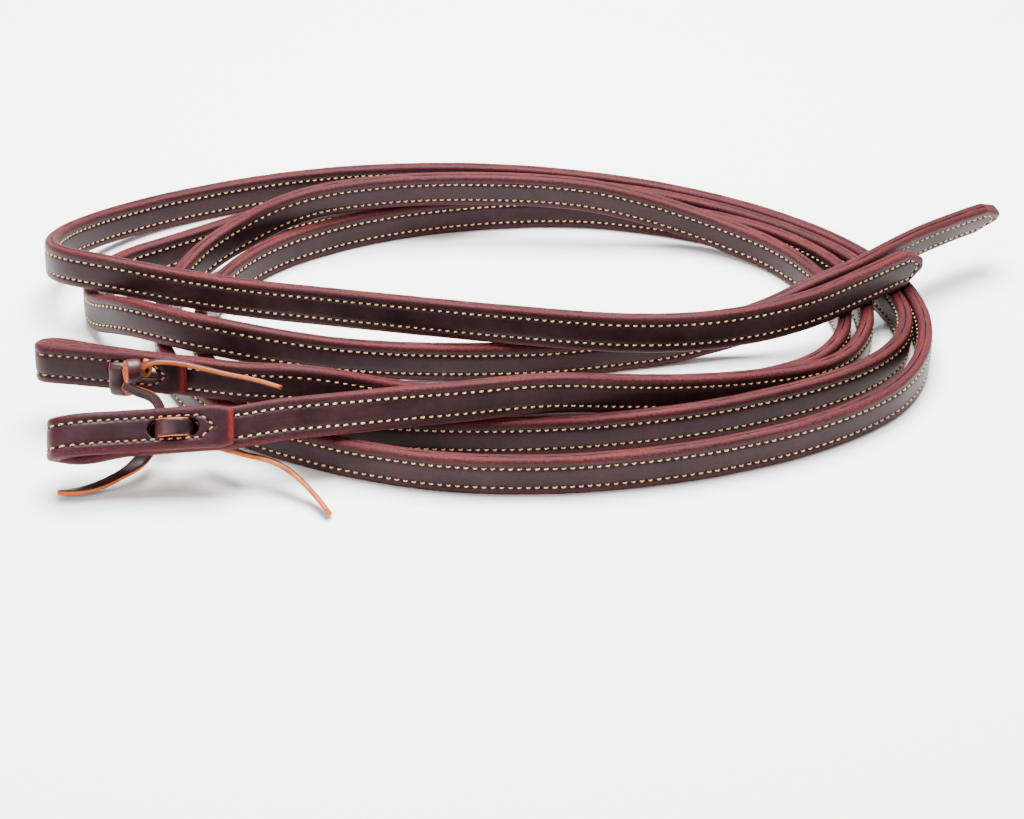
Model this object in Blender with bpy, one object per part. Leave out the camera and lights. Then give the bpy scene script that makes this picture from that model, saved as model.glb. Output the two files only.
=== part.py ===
"""A pair of leather split reins lying in a loose coil, each with a folded water loop.

Metres, +Z up. The reins stand on edge on the plane z = 0, and the origin is the middle of
their outline on that plane. Each rein is two plies of leather glued face to face and sewn
along both edges; a lace through a slot ties each water loop shut.
"""
import math

import bmesh
import bpy
import numpy as np
from mathutils import Vector

MM = 0.001

# Driving dimensions
STRAP_WIDTH = 0.016
PLY_THICKNESS = 0.00295
GLUE_GAP = 0.0003
EDGE_FLAT = 0.0009          # flat on the cut edge of each ply, beside the glue line
EDGE_ROUND = 0.0013         # how far each ply's edge is rounded back across the width
ROW_SPACING = 0.0084        # between the two rows of stitches
THREAD_WIDTH = 0.0009
THREAD_HEIGHT = 0.0006
CLEARANCE = 0.0003          # between pieces that touch
STACK_GAP = 0.0006          # between a strap and the one that lies on it
TIP_TAPER = 0.011           # length over which the free end narrows
TIP_WIDTH = 0.0055
TAB_SKIVE = 0.006           # length over which the folded end thins
TAB_THICKNESS = 0.45        # of the ply, at the folded end
TAB_WIDTH = 0.0135
V_LENGTH = 0.005            # where the rows run together at either end
TIP_INSET = 0.0035          # from the tip of the strap to the point of its V
TAB_INSET = 0.007           # and from the folded end
SLOT_LENGTH = 0.020
SLOT_WIDTH = 0.0074
SLOT_PLACE = {"left": 0.0225, "right": 0.0205}       # from the folded end to the slot's middle
CUT_DEPTH = 0.024           # through both legs of the loop
LEGS_MIDDLE = 0.004         # from the front leg's middle to the middle of both
LACE_THICKNESS = 0.0018
TURN_WIDTH = 0.0045         # the right lace where it turns over the loop's upper edge
BAND_WIDTH = 0.0085         # and where it goes round the lower edge
BAND_SHIFT = -0.0072        # from the slot's middle to the band
SAGITTA = 0.00045           # how far a facet may cut the corner of a bend
LACE_SAGITTA = 0.0001

HALF_THICKNESS = PLY_THICKNESS + GLUE_GAP / 2
FACE_STEP = THREAD_HEIGHT + CLEARANCE
LACE_WIDTH = SLOT_WIDTH - 4 * CLEARANCE
LACE_FRONT = -(HALF_THICKNESS + CLEARANCE + LACE_THICKNESS / 2)

# Routes, from the folded end through the water loop to the tip: x and y in millimetres, the
# layer (0 on the ground, 1 on top of another strap), and the lean in degrees of the upper
# edge to the left of the way the strap runs.
RIGHT_ROUTE = [
    (-120, -82, 1.25, -10), (-135, -78.4, 1.24, -10), (-150, -75.4, 1.23, -10),
    (-163, -73, 1.23, -10), (-172, -71.4, 1.22, -10), (-176.5, -69.4, 1.18, -7),
    (-178, -65.5, 1.1, 0), (-176, -62.2, 1.04, 8), (-171, -61.8, 1.01, 10), (-160, -65, 1, 10),
    (-147, -68.6, 1, 10), (-133, -72, 1, 10), (-118, -75.3, 1, 9), (-97, -79.5, 1, 7),
    (-75, -81.5, 1, 5), (-52, -77, 0.57, 4), (-30, -71, 0.12, 2), (0, -70, 0, 0), (40, -68, 0, 0),
    (77, -63, 0, 0), (108, -55.5, 0, 0), (129, -43, 0, 0), (142, -22, 0, 0), (144.5, 5, 0, 0),
    (135.6, 33, 0, 2), (119.4, 57.4, 0.03, 5), (97.4, 73, 0.18, 8), (72, 81.5, 0.51, 11),
    (40, 85.5, 0.89, 12), (2, 88, 1.01, 11), (-30, 88, 1.01, 11), (-62, 83, 1, 10),
    (-90, 72.5, 0.92, 8), (-112, 64, 0.48, 4), (-129, 49, 0.15, 2), (-138.5, 25, 0, 0),
    (-141, 0, 0, 0), (-138, -25, 0, 0), (-127, -54, 0, 0), (-106, -80, 0, 0), (-78, -98, 0, 0),
    (-43, -112, 0, 0), (-14, -118, 0, 0), (20, -119, 0, 0), (60, -113.5, 0, 0),
    (100, -101.5, 0, 0), (136, -83, 0, 0), (163, -58, 0, 0), (176, -24, 0, 0), (175, 12, 0, 0),
    (161, 44, 0, 0), (136, 73, 0, 0), (98, 100, 0, 1), (39, 123.5, 0, 1), (-25, 132, 0, 1),
    (-88, 125, 0, 1), (-143, 104, 0.03, 2), (-174, 80, 0.18, 2), (-188, 57, 0.45, 3),
    (-192, 36, 0.75, 4), (-187, 17, 1.05, 5), (-172, 4, 1.25, 7), (-150, -3, 1.2, 7),
    (-110, -12, 1.04, 7), (-62, -21.5, 1, 7), (-20, -30, 1, 7), (25, -38, 1, 7),
    (65, -41.5, 1, 7), (98, -36, 1, 7), (126, -23, 1, 5), (152, -3, 1, 3), (179, 20, 1, 2),
]
LEFT_ROUTE = [
    (-98, -114.7, 1.14, -38), (-115, -115, 1.1, -41), (-130, -115.6, 1.05, -43),
    (-145, -116.5, 1.02, -44), (-158, -118.3, 1.01, -44), (-163.5, -117.3, 0.9, -36),
    (-165.5, -114.5, 0.74, 0), (-163.5, -112, 0.6, 36), (-158, -111.2, 0.52, 44),
    (-145, -109.9, 0.62, 44), (-130, -109.8, 0.73, 43), (-115, -109.8, 0.81, 41),
    (-98, -109.3, 0.89, 38), (-84, -107, 0.98, 33), (-65, -103.5, 1, 27), (-40, -98.5, 1, 20),
    (-10, -93, 1, 12), (18, -87.6, 0.99, 7), (48, -80.6, 0.72, 4), (80, -72, 0.43, 1),
    (110, -62, 0.24, 0), (136.5, -47, 0.09, 0), (151, -22, 0, 0), (154.5, 10, 0, 0),
    (144, 42, 0, 0), (119, 69.2, 0, 0), (82, 88.4, 0, 0), (41, 99, 0, 0), (-15, 96, 0, 0),
    (-50, 86.5, 0, 0), (-80, 71.5, 0, 0), (-104, 51, 0, 0), (-119, 24, 0, 0), (-124, -8, 0, 0),
    (-117, -44, 0, 0), (-100, -69, 0, 0), (-78, -83.5, 0, 0), (-50, -90, 0, 0), (-10, -93, 0, 0),
    (38, -90, 0, 0), (80, -81, 0, 0), (122, -64.5, 0, 0), (155, -42, 0, 0), (169, -16, 0, 0),
    (166, 18, 0, 0), (148, 50.5, 0, 0), (113.5, 82, 0, 0), (59, 108.8, 0, 0), (3, 118, 0, 0),
    (-51, 112, 0, 0), (-103, 89, 0, 0), (-145, 58.5, 0, 0), (-167, 40, 0, 0), (-174, 20, 0.06, 1),
    (-170, 1, 0.2, 3), (-160, -14, 0.58, 5), (-147, -27, 0.91, 6), (-131, -37.5, 1.02, 8),
    (-112, -45, 1.01, 8), (-88, -47.5, 0.78, 6), (-58, -43.5, 0.36, 4), (-28, -38.5, 0.09, 2),
    (20, -34.5, 0, 0), (65, -25, 0, 0), (95, -18.5, 0.27, 0), (115, -14.5, 0.63, 0),
    (130, -8.5, 0.93, -2), (145, 2, 1.01, -6), (175, 32, 1, -18), (220, 65.5, 1, -26),
]

# Lace tails: x, y and z of each point in millimetres, then the direction of the lace's width
LEFT_TAIL_IN = [
    (-165, -123.5, 2.7, 0, 0.85, -0.4), (-158, -122.5, 2.6, 0.1, 0.9, -0.2), (-150, -119.5, 3.2, 0.3, 1, 0.1),
    (-142, -114.5, 4.9, 0.4, 1, 0.25), (-136, -108.5, 6.8, 0.3, 1, 0.4), (-132, -103, 10, 0.2, 0.8, 0.7),
]
LEFT_TAIL_OUT = [
    (-110, -102.5, 13, 0, 0.8, 0.5), (-103, -106, 11.5, -0.1, 0.9, 0), (-95, -111, 11.6, -0.1, 0.85, -0.35),
    (-86, -115.5, 12, -0.1, 0.85, -0.4), (-79, -119, 10.5, 0, 0.85, -0.4), (-73, -123, 7.5, 0.1, 0.85, -0.35),
    (-67, -129, 4.2, 0.25, 0.85, -0.3), (-62, -137, 2.8, 0.3, 0.85, -0.25),
]
RIGHT_TAIL_IN = [
    (-124, -100, 2.2, 1, 0.2, 0), (-126, -98, 8, 1, 0.3, 0), (-129, -95, 14, 1, 0.4, 0),
    (-133, -91, 19, 1, 0.5, 0.3), (-138, -87.5, 21, 1, 0.3, 0.5), (-142.5, -84.5, 22.4, 1, 0.1, 0.4),
]
RIGHT_TAIL_OUT = [
    (-134, -84, 35, 0.1, 0.1, 1), (-126, -83.2, 36.2, 0.1, 0.1, 1), (-116, -84, 33.8, 0.2, -0.1, 1),
    (-104, -86, 31.4, 0.2, -0.3, 1), (-92, -88.5, 29, 0.3, -0.5, 1), (-83, -91, 27.6, 0.3, -0.6, 1),
]


def smooth_curve(points, count):
    """A natural cubic spline through the points, parameterised by chord length."""
    points = np.asarray(points, float)
    chord = np.r_[0, np.cumsum(np.linalg.norm(np.diff(points[:, :3], axis=0), axis=1))]
    step = np.diff(chord)
    matrix, right = np.eye(len(chord)), np.zeros(points.shape)
    for i in range(1, len(chord) - 1):
        matrix[i, i - 1:i + 2] = step[i - 1], 2 * (step[i - 1] + step[i]), step[i]
        slopes = np.diff(points[i - 1:i + 2], axis=0) / step[i - 1:i + 1, None]
        right[i] = 6 * (slopes[1] - slopes[0])
    bend = np.linalg.solve(matrix, right)
    at = np.linspace(0, chord[-1], count)
    k = np.clip(np.searchsorted(chord, at, side="right") - 1, 0, len(step) - 1)
    h = step[k][:, None]
    a = (chord[k + 1] - at)[:, None] / h
    b = 1 - a
    return a * points[k] + b * points[k + 1] + ((a**3 - a) * bend[k] + (b**3 - b) * bend[k + 1]) * h**2 / 6


def unit(vectors):
    return vectors / np.linalg.norm(vectors, axis=-1, keepdims=True)


def lengths_along(points):
    return np.r_[0, np.cumsum(np.linalg.norm(np.diff(points, axis=0), axis=1))]


def ramp(x):
    """0 below 0, 1 above 1, and a straight slope between."""
    return np.clip(x, 0, 1)


class Strap:
    """The middle line of one rein, with the directions of its width and its face."""

    def __init__(self, route):
        table = np.array(route, float)
        table[:, :2] *= MM
        table[:, 2] = STRAP_WIDTH / 2 + table[:, 2] * (STRAP_WIDTH + STACK_GAP)
        fine = smooth_curve(table, 4000)
        lean = np.radians(fine[:, 3])
        lowest = STRAP_WIDTH / 2 * np.cos(lean) + HALF_THICKNESS * np.abs(np.sin(lean))
        fine[:, 2] = np.maximum(fine[:, 2], lowest)
        self.fine = fine[:, :3]
        self.along = lengths_along(self.fine)
        self.length = self.along[-1]
        tangent = unit(np.gradient(self.fine, self.along, axis=0))
        left = unit(np.cross([0, 0, 1], tangent))
        up = np.cross(tangent, left)
        self.width = up * np.cos(lean)[:, None] + left * np.sin(lean)[:, None]
        self.face = unit(np.cross(tangent, self.width))
        bend = np.linalg.norm(np.gradient(tangent, self.along, axis=0), axis=1)
        self.stations = self.spread_stations(bend)

    def spread_stations(self, bend):
        """Stations that keep every facet within SAGITTA of the curve, and mark the ends' details."""
        step = np.clip(np.sqrt(8 * SAGITTA / np.maximum(bend, 1e-6)), 0.0025, 0.040)
        smooth = np.convolve(np.pad(1 / step, 40, mode="edge"), np.ones(81) / 81, "valid")
        total = np.r_[0, np.cumsum((smooth[1:] + smooth[:-1]) / 2 * np.diff(self.along))]
        count = int(math.ceil(total[-1]))
        spread = np.interp(np.linspace(0, total[-1], count + 1), total, self.along)
        v_marks = np.array([-0.0012, 0, 0.0014, V_LENGTH / 2, V_LENGTH])
        head = np.r_[0, 0.003, TAB_INSET + v_marks]
        tail = np.r_[TIP_INSET + v_marks, TIP_TAPER]
        marks = np.r_[head, self.length - tail, self.length]
        away = np.abs(spread[:, None] - marks[None, :]).min(axis=1) > 0.004
        return np.sort(np.r_[spread[away], marks])

    def place(self, along, across, out):
        """World points at distances along the strap, across its width and out of its face."""
        at = np.clip(along, 0, self.length)
        frames = []
        for values in (self.fine, self.width, self.face):
            knots = np.stack([np.interp(self.stations, self.along, values[:, i]) for i in range(3)], 1)
            frames.append(np.stack([np.interp(at, self.stations, knots[:, i]) for i in range(3)], -1))
        centre, width, face = frames
        return centre + width * np.asarray(across)[..., None] + face * np.asarray(out)[..., None]

    def half_width(self, along):
        tip = STRAP_WIDTH - (STRAP_WIDTH - TIP_WIDTH) * ramp(1 - (self.length - along) / TIP_TAPER)
        tab = STRAP_WIDTH - (STRAP_WIDTH - TAB_WIDTH) * ramp(1 - along / TAB_SKIVE)
        return np.minimum(tip, tab) / 2

    def row_offset(self, along):
        """Half the spacing of the rows, closing to a point near each end."""
        nearest = np.minimum(along - TAB_INSET, self.length - along - TIP_INSET)
        return ROW_SPACING / 2 * ramp(nearest / V_LENGTH)

    def ply_thickness(self, along):
        return PLY_THICKNESS * (TAB_THICKNESS + (1 - TAB_THICKNESS) * ramp(along / TAB_SKIVE))


def loft(name, sections, material, closed_run=False):
    """A solid through a row of sections with the same number of points."""
    count, size = sections.shape[:2]
    mesh = bpy.data.meshes.new(name)
    work = bmesh.new()
    points = [[work.verts.new(p) for p in section] for section in sections]
    last = count if closed_run else count - 1
    for i in range(last):
        here, there = points[i], points[(i + 1) % count]
        for j in range(size):
            k = (j + 1) % size
            work.faces.new((here[j], here[k], there[k], there[j]))
    if not closed_run:
        work.faces.new(points[0])
        work.faces.new(points[-1])
    bmesh.ops.recalc_face_normals(work, faces=work.faces)
    work.to_mesh(mesh)
    work.free()
    mesh.shade_smooth()
    mesh.set_sharp_from_angle(angle=math.radians(35))
    mesh.materials.append(material)
    obj = bpy.data.objects.new(name, mesh)
    collection("split reins").objects.link(obj)
    return obj


def collection(name):
    found = bpy.data.collections.get(name)
    if found is None:
        found = bpy.data.collections.new(name)
        bpy.context.scene.collection.children.link(found)
    return found


def paint(name, colour, roughness):
    material = bpy.data.materials.new(name)
    material.use_nodes = True
    shader = material.node_tree.nodes["Principled BSDF"]
    shader.inputs["Base Color"].default_value = (*colour, 1)
    shader.inputs["Roughness"].default_value = roughness
    shader.inputs["Metallic"].default_value = 0
    return material


def make_ply(name, strap, side, material):
    """One layer of leather: a raised middle, stepped down along both edges for the stitches."""
    s = strap.stations
    half = strap.half_width(s)
    thick = strap.ply_thickness(s)
    scale = thick / PLY_THICKNESS
    glue = np.full(len(s), GLUE_GAP / 2)
    margin = glue + thick - FACE_STEP * scale
    row = strap.row_offset(s)
    keep_off = THREAD_WIDTH / 2 + CLEARANCE + 0.0006 * (row < ROW_SPACING / 2 - 1e-6)
    raised = row > keep_off + 0.0004
    panel = np.where(raised, row - keep_off, 0.0002)
    face = np.where(raised, glue + thick, margin + 0.00005)
    edge = [(half, glue), (half, glue + EDGE_FLAT * scale), (half - EDGE_ROUND, margin),
            (panel + 0.0001, margin), (panel, face)]
    profile = edge + [(-w, t) for w, t in reversed(edge)]
    sections = np.stack([strap.place(s, w, side * t) for w, t in profile], axis=1)
    return loft(name, sections, material)


def make_stitching(name, strap, side, material):
    """The thread on one face: up one row, across the V at the tip, and back along the other."""
    s = strap.stations
    s = s[(s >= TAB_INSET - 1e-9) & (s <= strap.length - TIP_INSET + 1e-9)]
    out = np.c_[s, strap.row_offset(s)]
    back = out[::-1][1:-1] * np.array([1, -1])
    run = np.r_[out, back]
    before, after = np.roll(run, 1, axis=0), np.roll(run, -1, axis=0)
    heading = unit(after - before)
    across = np.c_[-heading[:, 1], heading[:, 0]] * THREAD_WIDTH / 2
    scale = strap.ply_thickness(run[:, 0]) / PLY_THICKNESS
    top = GLUE_GAP / 2 + PLY_THICKNESS * scale
    low = top - FACE_STEP * scale + CLEARANCE
    sides = [(run + across, low), (run, low + THREAD_HEIGHT), (run - across, low)]
    sections = np.stack([strap.place(p[:, 0], p[:, 1], side * t) for p, t in sides], axis=1)
    return loft(name, sections, material, closed_run=True)


def loop_point(strap, centre, along, across, depth):
    """A point by the water loop's slot: along it, across it, and in from the outer face."""
    return strap.place(np.array([centre - along]), np.array([across]), np.array([depth]))[0]


def make_slot_cutter(name, strap, centre):
    """A slot with round ends, through both legs of the water loop."""
    middle = loop_point(strap, centre, 0, 0, LEGS_MIDDLE)
    long_way, across = [unit(loop_point(strap, centre, *d) - loop_point(strap, centre, 0, 0, 0))
                        for d in ((0.001, 0, 0), (0, 0.001, 0))]
    work = bmesh.new()
    bmesh.ops.create_cube(work, size=1)
    bmesh.ops.scale(work, vec=(SLOT_LENGTH, SLOT_WIDTH, CUT_DEPTH), verts=work.verts)
    uprights = [e for e in work.edges if abs(e.verts[0].co.z - e.verts[1].co.z) > CUT_DEPTH / 2]
    bmesh.ops.bevel(work, geom=uprights, offset=SLOT_WIDTH * 0.45, segments=3,
                      profile=0.5, affect="EDGES")
    turn = np.array([long_way, across, np.cross(long_way, across)]).T
    for vert in work.verts:
        vert.co = middle + turn @ np.array(vert.co)
    bmesh.ops.recalc_face_normals(work, faces=work.faces)
    mesh = bpy.data.meshes.new(name)
    work.to_mesh(mesh)
    work.free()
    cutter = bpy.data.objects.new(name, mesh)
    cutter.hide_render = True
    cutter.display_type = "WIRE"
    collection("cutters").objects.link(cutter)
    return cutter


def cut(obj, cutter):
    modifier = obj.modifiers.new("slot", "BOOLEAN")
    modifier.object = cutter
    modifier.operation = "DIFFERENCE"


def make_lace(name, rows, width, material):
    """A flat strip through rows of a point and the direction of its width."""
    table = np.array(rows, float)
    fine = smooth_curve(table, 1500)
    length = lengths_along(fine[:, :3])
    tangent = unit(np.gradient(fine[:, :3], length, axis=0))
    across = fine[:, 3:6] - tangent * (fine[:, 3:6] * tangent).sum(1, keepdims=True)
    across = unit(across)
    bend = np.linalg.norm(np.gradient(tangent, length, axis=0), axis=1)
    step = np.clip(np.sqrt(8 * LACE_SAGITTA / np.maximum(bend, 1e-6)), 0.0008, 0.009)
    total = np.r_[0, np.cumsum(np.diff(length) / step[1:])]
    at = np.interp(np.linspace(0, total[-1], int(math.ceil(total[-1])) + 1), total, length)
    pick = [np.stack([np.interp(at, length, v[:, i]) for i in range(3)], 1)
            for v in (fine[:, :3], across, np.cross(tangent, across))]
    corners = [(1, 1), (1, -1), (-1, -1), (-1, 1)]
    sections = np.stack([pick[0] + pick[1] * a * width / 2 + pick[2] * b * LACE_THICKNESS / 2
                         for a, b in corners], axis=1)
    return loft(name, sections, material)


def in_metres(rows):
    return [(x * MM, y * MM, z * MM, *direction) for x, y, z, *direction in rows]


def left_lace_rows(strap, centre):
    """Tail, in through the slot from behind, over the front as a bight, out again, tail."""
    reach = SLOT_LENGTH / 2 - SLOT_WIDTH / 2 - LACE_THICKNESS / 2
    half = [(-reach - 0.001, 0.0135), (-reach, 0.008), (-reach, 0.001),
            (-reach + 0.0013, LACE_FRONT + 0.0012), (-reach + 0.004, LACE_FRONT)]
    run = half + [(0, LACE_FRONT - 0.0002)] + [(-a, g) for a, g in reversed(half)]
    width = unit(loop_point(strap, centre, 0, 0.001, 0) - loop_point(strap, centre, 0, 0, 0))
    middle = [(*loop_point(strap, centre, a, 0, g), *width) for a, g in run]
    return in_metres(LEFT_TAIL_IN) + middle + in_metres(LEFT_TAIL_OUT)


def right_lace_rows(strap, centre):
    """Tail, up the front of the loop as a band, turned over at the top, tail."""
    front = LACE_FRONT
    up = [(-0.0015, -0.0045, front - 0.0006), (-0.0012, -0.001, front), (-0.0005, 0.002, front)]
    rows = [(*loop_point(strap, centre, a, w, g), 1, -0.2, 0) for a, w, g in up]
    turn = [(*loop_point(strap, centre, 0.0022, 0.0045, front - 0.0006), 0.7, -0.1, -0.7)]
    return in_metres(RIGHT_TAIL_IN) + rows + turn + in_metres(
        [(x, y, z, -a, -b, -c) for x, y, z, a, b, c in RIGHT_TAIL_OUT])


def right_band_rows(strap, centre):
    """From the slot down the front, round the lower edges of both legs, and up behind."""
    front = LACE_FRONT
    low = STRAP_WIDTH / 2 + 0.0014
    run = [(0.0028, front), (0, front), (-0.004, front), (-low + 0.0022, front),
           (-low, front + 0.0024), (-low - 0.0018, 0.0035), (-low - 0.0034, 0.0105),
           (-low + 0.001, 0.0137), (-0.004, 0.0140), (0, 0.0138)]
    return [(*loop_point(strap, centre, BAND_SHIFT, w, g), 1, -0.2, 0) for w, g in run]


def centre_outline():
    """Moves everything so that the origin is the middle of the outline, on the ground."""
    bpy.context.view_layer.update()
    corners = np.array([obj.matrix_world @ Vector(corner) for obj in collection("split reins").objects
                        for corner in obj.bound_box])
    low, high = corners.min(axis=0), corners.max(axis=0)
    for obj in bpy.data.objects:
        obj.location -= Vector(((low[0] + high[0]) / 2, (low[1] + high[1]) / 2, low[2]))


def main():
    for obj in list(bpy.data.objects):
        bpy.data.objects.remove(obj)

    leather = {
        "outer": paint("burgundy brown leather, outer ply", (0.062, 0.030, 0.031), 0.42),
        "inner": paint("burgundy brown leather, inner ply", (0.075, 0.036, 0.036), 0.45),
    }
    thread = {
        "outer": paint("tan waxed thread, outer face", (0.69, 0.47, 0.26), 0.6),
        "inner": paint("tan waxed thread, inner face", (0.72, 0.50, 0.28), 0.6),
    }
    lace_leather = {
        "left": paint("latigo lace, left rein", (0.085, 0.025, 0.028), 0.35),
        "right": paint("latigo lace, right rein", (0.075, 0.024, 0.027), 0.35),
    }
    routes = {"left": LEFT_ROUTE, "right": RIGHT_ROUTE}
    sides = {"outer": -1, "inner": 1}

    for rein, route in routes.items():
        strap = Strap(route)
        centre = SLOT_PLACE[rein]
        cutter = make_slot_cutter(rein + "_slot_cutter", strap, centre)
        for ply, side in sides.items():
            cut(make_ply(f"{rein}_rein_{ply}_ply", strap, side, leather[ply]), cutter)
            make_stitching(f"{rein}_rein_{ply}_stitching", strap, side, thread[ply])
        if rein == "left":
            make_lace("left_tie_lace", left_lace_rows(strap, centre), LACE_WIDTH, lace_leather[rein])
        else:
            lace = make_lace("right_tie_lace", right_lace_rows(strap, centre), TURN_WIDTH,
                             lace_leather[rein])
            band = make_lace("right_tie_band", right_band_rows(strap, centre), BAND_WIDTH,
                             lace_leather[rein])
            join = lace.modifiers.new("band", "BOOLEAN")
            join.object = band
            join.operation = "UNION"
            band.hide_render = True
            band.display_type = "WIRE"
    centre_outline()


main()
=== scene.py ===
import math

import bpy
import numpy as np
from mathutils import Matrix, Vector


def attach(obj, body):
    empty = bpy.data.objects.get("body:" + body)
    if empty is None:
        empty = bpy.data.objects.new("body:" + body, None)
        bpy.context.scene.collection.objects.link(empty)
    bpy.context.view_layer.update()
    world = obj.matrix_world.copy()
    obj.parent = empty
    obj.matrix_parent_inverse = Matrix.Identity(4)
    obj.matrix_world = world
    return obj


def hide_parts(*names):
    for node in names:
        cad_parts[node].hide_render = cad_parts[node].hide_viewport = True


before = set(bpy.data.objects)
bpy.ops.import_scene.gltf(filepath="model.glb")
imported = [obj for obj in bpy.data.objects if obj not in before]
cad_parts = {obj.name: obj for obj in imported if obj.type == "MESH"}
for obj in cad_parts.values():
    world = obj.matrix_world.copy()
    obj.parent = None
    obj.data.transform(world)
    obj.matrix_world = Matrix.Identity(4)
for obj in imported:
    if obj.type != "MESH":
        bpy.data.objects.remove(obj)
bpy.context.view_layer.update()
print("frame loaded:", len(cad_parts), "solids")

mm = 0.001

cameraSettings = {
    "place": (-0.007035, -0.820285, 0.476),
    "tilt": 58.0,            # degrees up from straight down
    "lens": 78.75,           # mm, on a 36 mm wide sensor
}


def makeCamera(settings):
    data = bpy.data.cameras.new("studioCamera")
    data.lens = settings["lens"]
    data.sensor_width = 36.0
    data.clip_start = 0.02
    obj = bpy.data.objects.new("studioCamera", data)
    obj.location = settings["place"]
    obj.rotation_euler = (math.radians(settings["tilt"]), 0, 0)
    bpy.context.collection.objects.link(obj)
    bpy.context.scene.camera = obj


makeCamera(cameraSettings)
print("camera placed")

# x and y in millimetres, the layer (0 on the ground, 1 on top of another strap), and the lean in
# degrees of the upper edge to the left of the way the strap runs
rightRoute = [
    (-120, -82, 1.25, -10), (-135, -78.4, 1.24, -10), (-150, -75.4, 1.23, -10),
    (-163, -73, 1.23, -10), (-172, -71.4, 1.22, -10), (-176.5, -69.4, 1.18, -7),
    (-178, -65.5, 1.1, 0), (-176, -62.2, 1.04, 8), (-171, -61.8, 1.01, 10), (-160, -65, 1, 10),
    (-147, -68.6, 1, 10), (-133, -72, 1, 10), (-118, -75.3, 1, 9), (-97, -79.5, 1, 7),
    (-75, -81.5, 1, 5), (-52, -77, 0.57, 4), (-30, -71, 0.12, 2), (0, -70, 0, 0), (40, -68, 0, 0),
    (77, -63, 0, 0), (108, -55.5, 0, 0), (129, -43, 0, 0), (142, -22, 0, 0), (144.5, 5, 0, 0),
    (135.6, 33, 0, 2), (119.4, 57.4, 0.03, 5), (97.4, 73, 0.18, 8), (72, 81.5, 0.51, 11),
    (40, 85.5, 0.89, 12), (2, 88, 1.01, 11), (-30, 88, 1.01, 11), (-62, 83, 1, 10),
    (-90, 72.5, 0.92, 8), (-112, 64, 0.48, 4), (-129, 49, 0.15, 2), (-138.5, 25, 0, 0),
    (-141, 0, 0, 0), (-138, -25, 0, 0), (-127, -54, 0, 0), (-106, -80, 0, 0), (-78, -98, 0, 0),
    (-43, -112, 0, 0), (-14, -118, 0, 0), (20, -119, 0, 0), (60, -113.5, 0, 0),
    (100, -101.5, 0, 0), (136, -83, 0, 0), (163, -58, 0, 0), (176, -24, 0, 0), (175, 12, 0, 0),
    (161, 44, 0, 0), (136, 73, 0, 0), (98, 100, 0, 1), (39, 123.5, 0, 1), (-25, 132, 0, 1),
    (-88, 125, 0, 1), (-143, 104, 0.03, 2), (-174, 80, 0.18, 2), (-188, 57, 0.45, 3),
    (-192, 36, 0.75, 4), (-187, 17, 1.05, 5), (-172, 4, 1.25, 7), (-150, -3, 1.2, 7),
    (-110, -12, 1.04, 7), (-62, -21.5, 1, 7), (-20, -30, 1, 7), (25, -38, 1, 7),
    (65, -41.5, 1, 7), (98, -36, 1, 7), (126, -23, 1, 5), (152, -3, 1, 3), (179, 20, 1, 2),
]
leftRoute = [
    (-98, -114.7, 1.14, -38), (-115, -115, 1.1, -41), (-130, -115.6, 1.05, -43),
    (-145, -116.5, 1.02, -44), (-158, -118.3, 1.01, -44), (-163.5, -117.3, 0.9, -36),
    (-165.5, -114.5, 0.74, 0), (-163.5, -112, 0.6, 36), (-158, -111.2, 0.52, 44),
    (-145, -109.9, 0.62, 44), (-130, -109.8, 0.73, 43), (-115, -109.8, 0.81, 41),
    (-98, -109.3, 0.89, 38), (-84, -107, 0.98, 33), (-65, -103.5, 1, 27), (-40, -98.5, 1, 20),
    (-10, -93, 1, 12), (18, -87.6, 0.99, 7), (48, -80.6, 0.72, 4), (80, -72, 0.43, 1),
    (110, -62, 0.24, 0), (136.5, -47, 0.09, 0), (151, -22, 0, 0), (154.5, 10, 0, 0),
    (144, 42, 0, 0), (119, 69.2, 0, 0), (82, 88.4, 0, 0), (41, 99, 0, 0), (-15, 96, 0, 0),
    (-50, 86.5, 0, 0), (-80, 71.5, 0, 0), (-104, 51, 0, 0), (-119, 24, 0, 0), (-124, -8, 0, 0),
    (-117, -44, 0, 0), (-100, -69, 0, 0), (-78, -83.5, 0, 0), (-50, -90, 0, 0), (-10, -93, 0, 0),
    (38, -90, 0, 0), (80, -81, 0, 0), (122, -64.5, 0, 0), (155, -42, 0, 0), (169, -16, 0, 0),
    (166, 18, 0, 0), (148, 50.5, 0, 0), (113.5, 82, 0, 0), (59, 108.8, 0, 0), (3, 118, 0, 0),
    (-51, 112, 0, 0), (-103, 89, 0, 0), (-145, 58.5, 0, 0), (-167, 40, 0, 0), (-174, 20, 0.06, 1),
    (-170, 1, 0.2, 3), (-160, -14, 0.58, 5), (-147, -27, 0.91, 6), (-131, -37.5, 1.02, 8),
    (-112, -45, 1.01, 8), (-88, -47.5, 0.78, 6), (-58, -43.5, 0.36, 4), (-28, -38.5, 0.09, 2),
    (20, -34.5, 0, 0), (65, -25, 0, 0), (95, -18.5, 0.27, 0), (115, -14.5, 0.63, 0),
    (130, -8.5, 0.93, -2), (145, 2, 1.01, -6), (175, 32, 1, -18), (220, 65.5, 1, -26),
]

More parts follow.
